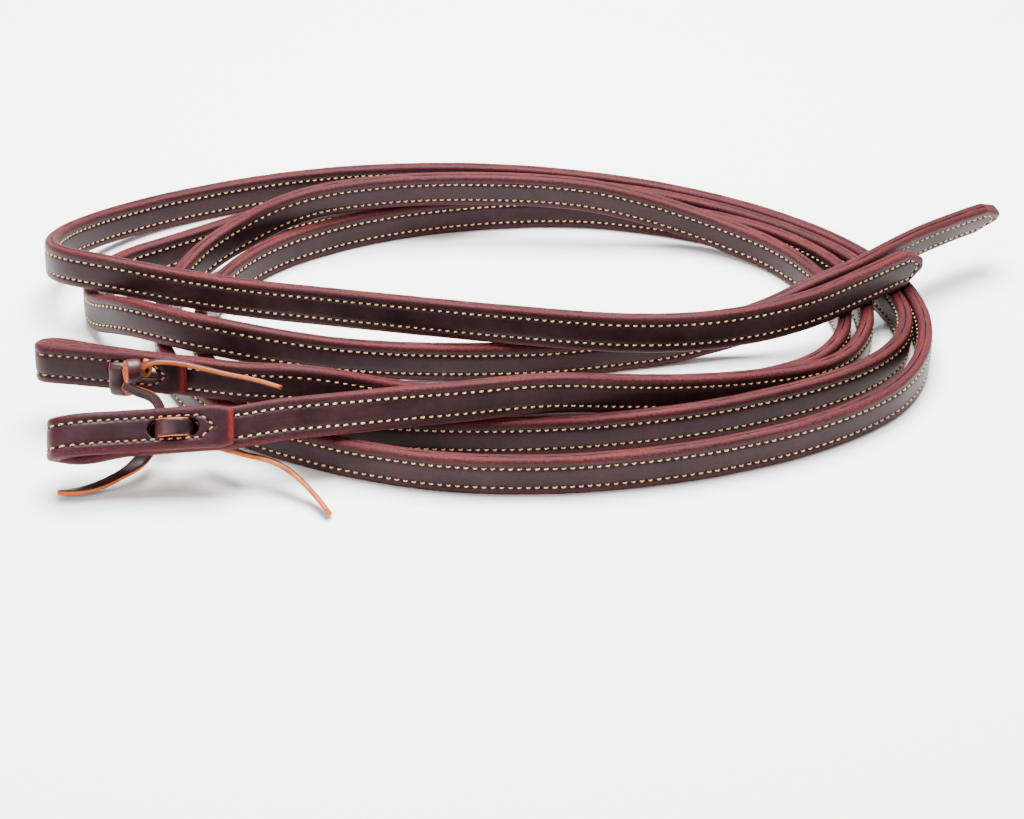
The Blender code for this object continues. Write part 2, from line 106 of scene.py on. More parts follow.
# Lace tails: x, y and z in millimetres, then the direction of the lace's width
leftTailIn = [
    (-165, -123.5, 2.7, 0, 0.85, -0.4), (-158, -122.5, 2.6, 0.1, 0.9, -0.2), (-150, -119.5, 3.2, 0.3, 1, 0.1),
    (-142, -114.5, 4.9, 0.4, 1, 0.25), (-136, -108.5, 6.8, 0.3, 1, 0.4), (-132, -103, 10, 0.2, 0.8, 0.7),
]
leftTailOut = [
    (-110, -102.5, 13, 0, 0.8, 0.5), (-103, -106, 11.5, -0.1, 0.9, 0), (-95, -111, 11.6, -0.1, 0.85, -0.42),
    (-86, -115.5, 12, -0.1, 0.85, -0.44), (-79, -119, 10.5, -0.1, 0.85, -0.46),
    (-73, -123, 7.5, -0.1, 0.85, -0.5),
    (-67, -129, 4.2, -0.1, 0.83, -0.53), (-62, -137, 2.8, -0.1, 0.83, -0.53),
]
rightTailIn = [
    (-138.2, -84.5, 23.2, 0.2, 0.4, 0.9), (-134.4, -86, 22.6, 0.3, 0.4, 0.85),
    (-131.3, -88, 21.4, 0.6, 0.4, 0.6), (-129.4, -90.5, 18.8, 0.85, 0.3, 0.35),
    (-128, -93.5, 15, 0.9, 0.3, 0.2), (-127, -97, 10.5, 0.9, 0.3, 0.1),
]
rightTailOut = [
    (-134, -86.6, 36.3, 0.1, 1, -0.25), (-126, -86.4, 38, 0, 1, -0.25), (-116, -87.2, 36.6, -0.1, 1, -0.35),
    (-104, -89, 34.2, -0.1, 0.9, -0.5), (-92, -91.2, 32.6, -0.1, 0.85, -0.53),
    (-82, -93.8, 30.8, -0.1, 0.85, -0.53),
]

strapSettings = {
    "width": 16.0,           # all in mm
    "plyThickness": 2.95,
    "glueGap": 0.3,          # in the solids; the leather itself closes it at the seam
    "layerStep": 16.6,       # from one strap to the one that lies on it
    "rowSpacing": 8.4,       # between the two rows of stitches
    "stitchPitch": 3.3,
    "tipTaper": 11.0,
    "tipWidth": 5.5,
    "tabSkive": 6.0,
    "tabThickness": 0.45,    # share of the ply left at the folded end
    "tabWidth": 13.5,
    "tipRound": 1.8,         # length of the rounding at the tip
    "tabRound": 1.6,
    "vLength": 5.0,
    "tipInset": 3.5,         # from the tip to the point of its V
    "tabInset": 7.0,         # and from the folded end
    "originShift": (-13.035148, 1.715459),   # middle of the outline to the origin
}


def smoothThrough(points, count):
    # natural cubic through the points by chord length: the second differences solve one
    # three-banded system, then each span is its two ends plus a cubic share of their bends
    points = np.asarray(points, float)
    chord = np.r_[0, np.cumsum(np.linalg.norm(np.diff(points[:, :3], axis=0), axis=1))]
    step = np.diff(chord)
    slope = np.diff(points, axis=0) / step[:, None]
    size = len(chord)
    bands = np.eye(size)
    inner = np.arange(1, size - 1)
    bands[inner, inner - 1] = step[:-1]
    bands[inner, inner] = 2 * (step[:-1] + step[1:])
    bands[inner, inner + 1] = step[1:]
    right = np.zeros(points.shape)
    right[1:-1] = 6 * np.diff(slope, axis=0)
    bend = np.linalg.solve(bands, right)
    at = np.linspace(0, chord[-1], count)
    k = np.clip(np.searchsorted(chord, at, side="right") - 1, 0, size - 2)
    h = step[k][:, None]
    a = (chord[k + 1] - at)[:, None] / h
    b = 1 - a
    return a * points[k] + b * points[k + 1] + ((a**3 - a) * bend[k] + (b**3 - b) * bend[k + 1]) * h**2 / 6


def unit(vectors):
    return vectors / np.linalg.norm(vectors, axis=-1, keepdims=True)


def alongOf(points):
    return np.r_[0, np.cumsum(np.linalg.norm(np.diff(points, axis=0), axis=1))]


def layOut(route):
    # the middle line of a strap with the directions of its width and of its face
    table = np.array(route, float)
    width = strapSettings["width"]
    table[:, 2] = width / 2 + table[:, 2] * strapSettings["layerStep"]
    fine = smoothThrough(table * [mm, mm, mm, 1], 6000)
    lean = np.radians(fine[:, 3])
    halfThick = strapSettings["plyThickness"] + strapSettings["glueGap"] / 2
    lowest = (width / 2 * np.cos(lean) + halfThick * np.abs(np.sin(lean))) * mm
    fine[:, 2] = np.maximum(fine[:, 2], lowest)
    fine[:, :2] += np.array(strapSettings["originShift"]) * mm
    line = fine[:, :3]
    along = alongOf(line)
    tangent = unit(np.gradient(line, along, axis=0))
    left = unit(np.cross([0, 0, 1], tangent))
    up = np.cross(tangent, left)
    across = up * np.cos(lean)[:, None] + left * np.sin(lean)[:, None]
    turning = np.gradient(np.unwrap(np.arctan2(tangent[:, 1], tangent[:, 0])), along)
    return {"line": line, "along": along, "length": along[-1], "width": across,
            "face": unit(np.cross(tangent, across)), "turning": turning}


def onStrap(strap, along, across, out):
    # point = middle line + width direction * across + face direction * out, all in metres
    at = np.clip(along, 0, strap["length"])
    centre, width, face = (
        np.stack([np.interp(at, strap["along"], strap[key][:, i]) for i in range(3)], -1)
        for key in ("line", "width", "face"))
    return centre + width * np.asarray(across)[..., None] + face * np.asarray(out)[..., None]


straps = {"left": layOut(leftRoute), "right": layOut(rightRoute)}
print("routes laid out:", {name: round(strap["length"], 4) for name, strap in straps.items()})


def makeTube(name, points, uv, materials, values=None):
    # rows of rings, each ring closed on itself, with both ends capped
    rows, ring = points.shape[:2]
    i = np.repeat(np.arange(rows - 1), ring)
    j = np.tile(np.arange(ring), rows - 1)
    corners = np.stack([np.stack(corner) for corner in ((i, j), (i, j + 1), (i + 1, j + 1), (i + 1, j))], -1)
    quads = corners[0] * ring + corners[1] % ring
    caps = [list(range(ring))[::-1], list(range((rows - 1) * ring, rows * ring))]
    flat = points.reshape(-1, 3)
    a, b, c, d = ((flat - flat.mean(axis=0))[quads[:, k]] for k in range(4))
    volume = sum(np.einsum("ij,ij->i", a, np.cross(*two)).sum() for two in ((b, c), (c, d)))
    if volume < 0:
        quads, corners = quads[:, ::-1], corners[:, :, ::-1]
        caps = [cap[::-1] for cap in caps]
    mesh = bpy.data.meshes.new(name)
    mesh.from_pydata(flat.tolist(), [], quads.tolist() + caps)
    layer = mesh.uv_layers.new(name="strapMap")
    place = np.zeros((len(mesh.loops), 2))
    place[:quads.size] = uv[corners[0].ravel(), corners[1].ravel()]
    start = quads.size
    for cap, row in zip(caps, (0, rows - 1)):
        place[start:start + ring] = uv[row, np.array(cap) % ring]
        start += ring
    layer.data.foreach_set("uv", place.ravel())
    for key, grid in (values or {}).items():
        attribute = mesh.attributes.new(key, "FLOAT", "POINT")
        attribute.data.foreach_set("value", np.asarray(grid, np.float32).ravel())
    mesh.shade_smooth()
    for material in materials:
        mesh.materials.append(material)
    mesh.validate()
    obj = bpy.data.objects.new(name, mesh)
    bpy.context.collection.objects.link(obj)
    return obj


def girthOf(across, out):
    # distance round the ring, with one more column for the way back to its start
    again = [np.concatenate([v, v[..., :1]], axis=-1) for v in (across, out)]
    hop = np.hypot(*(np.diff(v, axis=-1) for v in again))
    return np.concatenate([np.zeros(hop.shape[:-1] + (1,)), np.cumsum(hop, axis=-1)], axis=-1)


def toLinear(code):
    # sRGB hex to the linear colour that the shader takes
    value = [int(code[k:k + 2], 16) / 255 for k in (1, 3, 5)]
    return tuple(v / 12.92 if v <= 0.04045 else ((v + 0.055) / 1.055) ** 2.4 for v in value) + (1.0,)


def addNode(tree, kind, settings=None):
    # one node; a setting is an attribute, or else a socket by name or number, which takes a value,
    # a hex colour, or a link from another node's output
    node = tree.nodes.new("ShaderNode" + kind)
    for key, value in (settings or {}).items():
        if isinstance(key, str) and hasattr(node, key):
            setattr(node, key, value)
        elif isinstance(value, bpy.types.NodeSocket):
            tree.links.new(value, node.inputs[key])
        else:
            node.inputs[key].default_value = toLinear(value) if isinstance(value, str) else value
    return node


def newMaterial(name):
    material = bpy.data.materials.new(name)
    material.use_nodes = True
    tree = material.node_tree
    tree.nodes.clear()
    return material, tree


def finishMaterial(tree, settings):
    shader = addNode(tree, "BsdfPrincipled", settings)
    addNode(tree, "OutputMaterial", {"Surface": shader.outputs[0]})


def paintLayers(tree, base, layers):
    # colours laid over each other in turn; a layer is a pattern, the low and high of it that show,
    # how much colour that lays down at each, and the colour
    tone = base
    for pattern, low, high, least, most, colour in layers:
        mask = addNode(tree, "MapRange", {0: pattern, 1: low, 2: high, 3: least, 4: most}).outputs[0]
        tone = addNode(tree, "Mix", {"data_type": "RGBA", 0: mask, 6: tone, 7: colour}).outputs[2]
    return tone


def alongStrap(tree, lengthMm, girthMm, detail, rough):
    # a pattern drawn out along a strap or lace, whose map is in centimetres
    place = addNode(tree, "UVMap", {"uv_map": "strapMap"}).outputs[0]
    drawn = addNode(tree, "Mapping", {"Vector": place, "Scale": (10 / lengthMm, 10 / girthMm, 1)})
    return addNode(tree, "TexNoise", {"Vector": drawn.outputs[0], "Scale": 1.0, "Detail": detail,
                                      "Roughness": rough}).outputs[0]


leatherSettings = {
    "outer": {"face": "#1e0b10", "faceLight": "#2f161c", "edge": "#270c12", "edgeLight": "#681d20"},
    "inner": {"face": "#200d11", "faceLight": "#32191d", "edge": "#2a0d13", "edgeLight": "#722224"},
    "cutEnd": "#6c1a17",     # the skived end of the fold, where the dye is thin
    "seam": "#6e2a20",       # raw, glued fibre between the plies
    "seamDark": "#180a0c",
    # near black: painted shade in the stitch holes and along the stitch channels, and the dark of the grain's
    # pores
    "hole": "#0a0505",
    "grainSize": 0.55,       # mm between pores of pressed cowhide
    "poreSize": 1.3,         # mm, a coarser unevenness of the grain
    "mottleSize": 14.0,      # mm
    # each of these: mm along, mm across, detail, roughness
    "streak": (9.0, 0.4, 3.0, 0.6),        # the burnisher's marks on the edge
    "longStreak": (60.0, 1.6, 2.0, 0.6),   # wax dragged along the strap
    "fibre": (1.1, 0.9, 5.0, 0.75),
    "seamPatch": (14.0, 6.0, 3.0, 0.6),
}


def leatherMaterial(name, tones):
    # dyed bridle cowhide, pressed smooth: a fine pore grain with a waxed half gloss; the edges are
    # trimmed and rubbed, redder and duller, mottled with fibre and marked along the strap
    material, tree = newMaterial(name)
    s = leatherSettings
    here = addNode(tree, "TexCoord").outputs["Object"]
    edge, seam, hole, pull, cut = (
        addNode(tree, "Attribute", {"attribute_name": key}).outputs["Fac"]
        for key in ("edgeBand", "seamLine", "stitchHoleShade", "pull", "cutEnd"))
    streak, longStreak, fibre, seamPatch = (
        alongStrap(tree, *s[key]) for key in ("streak", "longStreak", "fibre", "seamPatch"))
    mottle = addNode(tree, "TexNoise", {"Vector": here, "Scale": 1000 / s["mottleSize"], "Detail": 4.0,
                                        "Roughness": 0.6}).outputs[0]
    grain = addNode(tree, "TexVoronoi", {"Vector": here, "Scale": 1000 / s["grainSize"]}).outputs[0]
    pores = addNode(tree, "TexNoise", {"Vector": here, "Scale": 1000 / s["poreSize"], "Detail": 3.0,
                                       "Roughness": 0.65}).outputs[0]

    # how far the edge's finish reaches over the face, and where its dye is rubbed thin
    stray = addNode(tree, "MapRange", {0: fibre, 1: 0.3, 2: 0.7, 3: -0.22, 4: 0.22}).outputs[0]
    ragged = addNode(tree, "Math", {"operation": "ADD", 0: edge, 1: stray}).outputs[0]
    edgeMask = addNode(tree, "MapRange", {0: ragged, 1: 0.2, 2: 0.85}).outputs[0]
    fibrous = addNode(tree, "MapRange", {0: fibre, 1: 0.40, 2: 0.66}).outputs[0]
    rubbed = addNode(tree, "MapRange", {0: longStreak, 1: 0.36, 2: 0.62, 3: 0.25, 4: 1.0}).outputs[0]
    worn = addNode(tree, "Math", {"operation": "MULTIPLY", 0: fibrous, 1: rubbed}).outputs[0]
    torn = addNode(tree, "MapRange", {0: fibre, 1: 0.3, 2: 0.62, 3: 0.25, 4: 1.0}).outputs[0]
    bare = addNode(tree, "Math", {"operation": "MULTIPLY", 0: cut, 1: torn}).outputs[0]

    edgeTone = paintLayers(tree, tones["edge"], [
        (worn, 0, 1, 0, 1, tones["edgeLight"]), (streak, 0.56, 0.74, 0, 0.5, s["seamDark"])])
    seamTone = paintLayers(tree, s["seamDark"], [(seamPatch, 0.45, 0.58, 0, 1, s["seam"])])
    # the hole layer lays painted shade, near black in the stitch holes and lighter along the stitch channels;
    # the pores layer is the grain
    tone = paintLayers(tree, tones["face"], [
        (mottle, 0.35, 0.68, 0, 1, tones["faceLight"]), (longStreak, 0.55, 0.75, 0, 0.45, tones["faceLight"]),
        (edgeMask, 0, 1, 0, 1, edgeTone), (pull, 0, 1, 0, 0.25, tones["edgeLight"]),
        (bare, 0, 1, 0, 1, s["cutEnd"]), (seam, 0.3, 0.8, 0, 1, seamTone),
        (hole, 0.15, 0.85, 0, 0.95, s["hole"]), (pores, 0.3, 0.7, 0, 0.3, s["hole"])])

    faceRough = addNode(tree, "MapRange", {0: mottle, 1: 0.3, 2: 0.7, 3: 0.40, 4: 0.52}).outputs[0]
    edgeRough = addNode(tree, "MapRange", {0: fibre, 1: 0.3, 2: 0.7, 3: 0.48, 4: 0.66}).outputs[0]
    rough = addNode(tree, "Mix", {"data_type": "FLOAT", 0: edgeMask, 2: faceRough, 3: edgeRough}).outputs[0]

    poreHeight = addNode(tree, "Math", {"operation": "MULTIPLY", 0: pores, 1: 0.8}).outputs[0]
    height = addNode(tree, "Math", {"operation": "MULTIPLY_ADD", 0: grain, 1: 0.5, 2: poreHeight}).outputs[0]
    bump = addNode(tree, "Bump", {"Height": height, "Strength": 0.45, "Distance": 0.06 * mm}).outputs[0]
    marks = addNode(tree, "Math", {"operation": "MULTIPLY_ADD", 0: streak, 1: -0.4, 2: fibre}).outputs[0]
    depth = addNode(tree, "Math", {"operation": "MULTIPLY", 0: edgeMask, 1: 0.8}).outputs[0]
    marked = addNode(tree, "Bump", {"Height": marks, "Strength": depth, "Distance": 0.3 * mm, "Normal": bump})
    finishMaterial(tree, {"Base Color": tone, "Roughness": rough, "Normal": marked.outputs[0],
                          "IOR": 1.45, "Specular IOR Level": 0.16})
    return material


wallSettings = {"tone": "#2a1512", "toneLight": "#4a2820", "fibreSize": 0.8}   # mm


def slotWallMaterial():
    # the cut wall of a slot: undressed leather, dull, dark brown with fibre
    material, tree = newMaterial("punchedLeatherWall")
    s = wallSettings
    here = addNode(tree, "TexCoord").outputs["Object"]
    fibre = addNode(tree, "TexNoise", {"Vector": here, "Scale": 1000 / s["fibreSize"],
                                       "Detail": 4.0}).outputs[0]
    tone = paintLayers(tree, s["tone"], [(fibre, 0.35, 0.65, 0, 1, s["toneLight"])])
    bump = addNode(tree, "Bump", {"Height": fibre, "Strength": 0.6, "Distance": 0.1 * mm})
    finishMaterial(tree, {"Base Color": tone, "Roughness": 0.8, "Normal": bump.outputs[0]})
    return material


threadSettings = {
    # the cream is painted highlight on the crowns of the twist; the tan is the thread's own tone in patches
    # and painted shade in the lay
    "crownHighlight": "#f0cf94", "dark": "#b87e48",
    "worn": "#8a3a24",       # dyed by handling, near the loop
    "wornFrom": 11.0,        # cm from the folded end, to
    "wornTo": 5.0,
    "shade": "#2a120c",      # where it goes into its hole
    "twist": 0.55,           # mm between turns of the strands
    "strand": 1.4,           # mm of girth to a strand
    "patchSize": 9.0,        # mm
}


def threadMaterial():
    # waxed linen thread, twisted, softly shiny: painted highlight in cream on the crowns of the strands and
    # painted shade in tan in their lay
    material, tree = newMaterial("waxedLinenThread")
    s = threadSettings
    place = addNode(tree, "UVMap", {"uv_map": "strapMap"}).outputs[0]
    here = addNode(tree, "TexCoord").outputs["Object"]
    dip = addNode(tree, "Attribute", {"attribute_name": "stitchHoleShade"}).outputs["Fac"]
    fromEnd = addNode(tree, "SeparateXYZ", {0: place}).outputs[0]
    turned = addNode(tree, "Mapping", {"Vector": place, "Scale": (10 / s["twist"], 10 / s["strand"], 1)})
    lay = addNode(tree, "TexWave", {"Vector": turned.outputs[0], "wave_type": "BANDS", "Scale": 0.32,
                                    "bands_direction": "DIAGONAL", "Distortion": 0.4}).outputs["Fac"]
    patch = addNode(tree, "TexNoise", {"Vector": here, "Scale": 1000 / s["patchSize"],
                                       "Detail": 3.0}).outputs[0]
    # cream painted highlight on the crowns of the twist, tan painted shade in its lay, and painted shade
    # where the thread goes into its holes
    tone = paintLayers(tree, s["dark"], [
        (lay, 0.1, 0.8, 0, 1, s["crownHighlight"]), (patch, 0.45, 0.75, 0, 0.5, s["dark"]),
        (fromEnd, s["wornTo"], s["wornFrom"], 0.8, 0, s["worn"]), (dip, 0.25, 1.0, 0, 0.8, s["shade"])])
    bump = addNode(tree, "Bump", {"Height": lay, "Strength": 0.5, "Distance": 0.1 * mm})
    finishMaterial(tree, {"Base Color": tone, "Normal": bump.outputs[0], "Roughness": 0.5,
                          "Sheen Weight": 0.1})
    return material


laceSettings = {
    "face": "#170a0d", "faceLight": "#3c1117", "raw": "#9a3e0a", "rawLight": "#ba5e1a", "rawDark": "#6a2a0a",
    "grainSize": 0.6,        # mm
    "mottleSize": 7.0,
    "fibre": (2.4, 0.4, 4.0, 0.7),   # mm along, mm across, detail, roughness
}


def laceMaterial():
    # latigo lace: oiled, with a soft gloss on its dyed faces, its cut edges the tan of the raw hide
    material, tree = newMaterial("oiledLatigoLace")
    s = laceSettings
    here = addNode(tree, "TexCoord").outputs["Object"]
    raw = addNode(tree, "Attribute", {"attribute_name": "rawEdge"}).outputs["Fac"]
    mottle = addNode(tree, "TexNoise", {"Vector": here, "Scale": 1000 / s["mottleSize"],
                                        "Detail": 3.0}).outputs[0]
    fibre = alongStrap(tree, *s["fibre"])
    grain = addNode(tree, "TexVoronoi", {"Vector": here, "Scale": 1000 / s["grainSize"]}).outputs[0]
    stray = addNode(tree, "MapRange", {0: fibre, 1: 0.3, 2: 0.7, 3: -0.12, 4: 0.12}).outputs[0]
    ragged = addNode(tree, "Math", {"operation": "ADD", 0: raw, 1: stray}).outputs[0]
    mask = addNode(tree, "MapRange", {0: ragged, 1: 0.4, 2: 0.6}).outputs[0]
    edge = paintLayers(tree, s["raw"], [
        (fibre, 0.3, 0.6, 0, 1, s["rawLight"]), (mottle, 0.5, 0.7, 0, 0.6, s["rawDark"])])
    tone = paintLayers(tree, s["face"], [
        (mottle, 0.35, 0.65, 0, 1, s["faceLight"]), (mask, 0, 1, 0, 1, edge)])
    faceRough = addNode(tree, "MapRange", {0: mottle, 1: 0.3, 2: 0.7, 3: 0.34, 4: 0.46}).outputs[0]
    rawRough = addNode(tree, "MapRange", {0: fibre, 1: 0.3, 2: 0.7, 3: 0.6, 4: 0.8}).outputs[0]
    rough = addNode(tree, "Mix", {"data_type": "FLOAT", 0: mask, 2: faceRough, 3: rawRough}).outputs[0]
    nap = addNode(tree, "Math", {"operation": "MULTIPLY", 0: fibre, 1: mask}).outputs[0]
    height = addNode(tree, "Math", {"operation": "MULTIPLY_ADD", 0: grain, 1: 0.6, 2: nap}).outputs[0]
    bump = addNode(tree, "Bump", {"Height": height, "Strength": 0.35, "Distance": 0.08 * mm})
    finishMaterial(tree, {"Base Color": tone, "Roughness": rough, "Normal": bump.outputs[0], "IOR": 1.45,
                          "Specular IOR Level": 0.3, "Coat Weight": 0.1, "Coat Roughness": 0.3})
    return material


outerLeather = leatherMaterial("bridleLeatherOuterPly", leatherSettings["outer"])
innerLeather = leatherMaterial("bridleLeatherInnerPly", leatherSettings["inner"])
slotWall = slotWallMaterial()
waxedThread = threadMaterial()
latigo = laceMaterial()
print("materials made")

plySettings = {
    "seamGap": 0.03,         # mm from the glue plane
    "crown": 0.12,           # mm, the panel between the rows stands this much proud
    "channelDepth": 0.42,    # mm
    "channelWidth": 0.42,
    "holeDepth": 0.45,
    "wander": 0.10,          # mm, the cut edge is not dead straight
    "wave": 0.12,            # mm, the strap's own unevenness
    "profileHeight": 2.9,    # mm that edgeShape is drawn to, scaled to the ply's own thickness
    "profileReach": 4.5,     # mm; where half the width is less, edgeShape shrinks with it
    "pullFrom": 60.0,        # radians a metre of turning where the leather starts to pull pale
    "pullFull": 310.0,
}

# Half of a ply's section from the glue plane round the cut edge: in from the strap's edge, and out
# from the glue plane, in mm, then how much of the edge's colour and of the seam's each point has
edgeShape = np.array([
    (0.60, 0.00, 0.8, 1.0), (0.28, 0.01, 1.0, 1.0), (0.12, 0.07, 1.0, 1.0), (0.03, 0.20, 1.0, 0.55),
    (0.00, 0.45, 1.0, 0.0), (0.02, 0.95, 1.0, 0.0), (0.10, 1.45, 1.0, 0.0), (0.30, 1.95, 1.0, 0.0),
    (0.68, 2.38, 0.85, 0.0), (1.20, 2.64, 0.6, 0.0), (1.80, 2.75, 0.4, 0.0), (2.45, 2.78, 0.22, 0.0),
])
# Across the face from the row of stitches, in mm: outwards is positive
rowShape = np.array([0.95, 0.5, 0.2, -0.2, -0.5, -0.95])
plyHeight = strapSettings["plyThickness"] + strapSettings["glueGap"] / 2   # mm from the glue plane


def halfWidth(strap, along):
    # millimetres; straight tapers to both ends, then a rounded corner in the last stretch
    s = strapSettings
    left = strap["length"] / mm - along
    tip = s["width"] - (s["width"] - s["tipWidth"]) * np.clip(1 - left / s["tipTaper"], 0, 1)
    tab = s["width"] - (s["width"] - s["tabWidth"]) * np.clip(1 - along / s["tabSkive"], 0, 1)
    tipRound = 0.55 + 0.45 * np.sqrt(1 - np.clip(1 - left / s["tipRound"], 0, 1)**2)
    tabRound = 0.80 + 0.20 * np.sqrt(1 - np.clip(1 - along / s["tabRound"], 0, 1)**2)
    return np.minimum(tip * tipRound, tab * tabRound) / 2


def rowOffset(strap, along):
    s = strapSettings
    nearest = np.minimum(along - s["tabInset"], strap["length"] / mm - along - s["tipInset"])
    return s["rowSpacing"] / 2 * np.clip(nearest / s["vLength"], 0, 1)


def stitchRun(strap):
    # along and across at each hole and at the quarters between, at even steps of the row's length
    s = strapSettings
    length = strap["length"] / mm
    arm = math.hypot(s["vLength"], s["rowSpacing"] / 2)
    straight = length - s["tabInset"] - s["tipInset"] - 2 * s["vLength"]
    whole = 2 * arm + straight
    count = int(round(whole / s["stitchPitch"]))
    run = np.linspace(0, whole, 4 * count + 1)
    corners = [0, arm, arm + straight, whole]
    along = np.interp(run, corners, [s["tabInset"], s["tabInset"] + s["vLength"],
                                     length - s["tipInset"] - s["vLength"], length - s["tipInset"]])
    return along, rowOffset(strap, along), count


def thicknessAt(along):
    s = strapSettings
    return s["tabThickness"] + (1 - s["tabThickness"]) * np.clip(along / s["tabSkive"], 0, 1)


def slowNoise(at, seed, lengths):
    # a sum of sines of unlike lengths, from -1 to 1
    rng = np.random.default_rng(seed)
    waves = [np.sin(2 * np.pi * at / length + rng.uniform(0, 2 * np.pi)) for length in lengths]
    return sum(waves) / len(lengths)


def strapWave(at, seed):
    # the strap's own unevenness in mm, the same for both its plies and their thread
    return plySettings["wave"] * slowNoise(at, 7 + seed // 10, (83.0, 47.0, 29.0))


def makePly(name, strap, side, material, seed):
    # profile of in-from-the-edge and out-from-the-glue, carried along the strap; stations fall on
    # the holes and their quarters, so that each hole is a dip in the surface
    p = plySettings
    length = strap["length"] / mm
    quarters = stitchRun(strap)[0]
    ends = np.array([0, 0.12, 0.35, 0.7, 1.1, 1.6, 2.2, 2.9])
    tabEnds = np.r_[ends, np.arange(3.7, strapSettings["tabInset"] - 0.4, 0.85)]
    at = np.r_[tabEnds, quarters, length - ends[::-1]]
    isHole = np.r_[0 * tabEnds, (np.arange(len(quarters)) % 4 == 0) * 1.0, 0 * ends]
    half = halfWidth(strap, at)
    row = rowOffset(strap, at)
    skive = thicknessAt(at)
    near = np.clip(1 - np.minimum(at, length - at) / 1.2, 0, 1)
    skive = skive * (0.7 + 0.3 * np.sqrt(1 - near**2))

    edgeIn, edgeOut, edgeMask, seamMask = edgeShape.T
    wander = p["wander"] * slowNoise(at, seed, (37.0, 23.0, 11.0, 61.0))
    fit = np.clip(half / p["profileReach"], 0.2, 1)[:, None]
    full = half[:, None] - np.abs(wander)[:, None] * fit - edgeIn[None, :] * fit
    # where the row runs in to its V, and where the strap narrows, the points stay in order
    rowSpots = np.maximum(row[:, None] + rowShape, np.array([2.0, 1.7, 1.4, 1.1, 0.8, 0.5]))
    rowSpots = np.minimum(rowSpots, full[:, -1:] * np.array([0.95, 0.85, 0.75, 0.62, 0.5, 0.38]))
    middle = np.minimum(np.maximum(row[:, None] * [0.55, 0.2], [0.3, 0.1]), full[:, -1:] * [0.25, 0.1])
    upper = np.concatenate([full, rowSpots, middle], axis=1)
    edgeSize, rowSize = len(edgeIn), len(rowShape)
    size = upper.shape[1]

    level = edgeOut[-1]
    fromRow = np.abs(upper - row[:, None])
    onFace = np.arange(size) >= edgeSize
    channel = np.exp(-(fromRow / p["channelWidth"])**2 / 2) * onFace
    crown = p["crown"] * np.clip(1 - (upper / np.maximum(row[:, None], 0.3))**2, 0, 1) * onFace
    crown = crown * np.clip(row / (strapSettings["rowSpacing"] / 2), 0, 1)[:, None]
    out = np.where(onFace, level, np.r_[edgeOut, np.zeros(rowSize + 2)])
    inRun = ((at >= quarters[0] - 0.01) & (at <= quarters[-1] + 0.01))[:, None]
    hole = channel * isHole[:, None] * inRun
    out = out + crown - channel * p["channelDepth"] * inRun - hole * p["holeDepth"]
    out = p["seamGap"] + out * skive[:, None] * plyHeight / p["profileHeight"]

    # the other half mirrors this one, and the ring closes along the glue plane
    across = np.concatenate([upper, -upper[:, ::-1]], axis=1)
    outs = np.concatenate([out, out[:, ::-1]], axis=1)
    outs = outs * side + strapWave(at, seed)[:, None]
    points = onStrap(strap, np.broadcast_to(at[:, None], across.shape) * mm, across * mm, outs * mm)

    endCut = np.clip(1 - np.minimum(at - 0.4, length - at) / 1.3, 0, 1)[:, None]
    # edgeBand and seamLine carry the edge's and the seam's colour; the third mask is where painted shade
    # goes, full in each stitch hole and a share of it along the channels
    edgeBand, seamLine, stitchHoleShade = (np.concatenate([v, v[:, ::-1]], axis=1) for v in (
        np.maximum(np.r_[edgeMask, np.zeros(rowSize + 2)][None, :], endCut),
        np.broadcast_to(np.r_[seamMask, np.zeros(rowSize + 2)], upper.shape),
        np.clip(hole + 0.42 * channel * inRun, 0, 1)))
    turning = np.abs(np.interp(at * mm, strap["along"], strap["turning"]))
    tight = np.clip((turning - p["pullFrom"]) / (p["pullFull"] - p["pullFrom"]), 0, 1)
    pull = np.broadcast_to(tight[:, None], across.shape)
    sample = 40   # a station past the folded end, where the strap has its full section
    girth = girthOf(across[sample], outs[sample])
    uv = np.stack(np.broadcast_arrays(at[:, None] / 10, girth[None, :] / 10), axis=-1)
    cutEnd = np.broadcast_to(np.clip(1 - (at - 1.2) / 1.2, 0, 1)[:, None], across.shape)
    values = {"edgeBand": edgeBand, "seamLine": seamLine, "stitchHoleShade": stitchHoleShade, "pull": pull,
              "cutEnd": cutEnd}
    return makeTube(name, points, uv, [material], values)


stitchSettings = {
    "length": 2.15,          # mm, of the pitch of 3.3
    "width": 0.72,
    "rise": 0.5,             # the crown above the channel's floor
    "slant": 8.0,            # degrees from the row
    "sink": 0.8,             # how deep its ends go into the holes
    "rings": (-1.0, -0.72, 0.0, 0.72, 1.0),    # places along it, from end to end
    "fatness": (0.45, 0.86, 1.0, 0.86, 0.45),  # share of its width at each
    "around": 6,             # points to a ring
    "mapStep": 0.45,         # from point to point of a ring in the twist's map
}


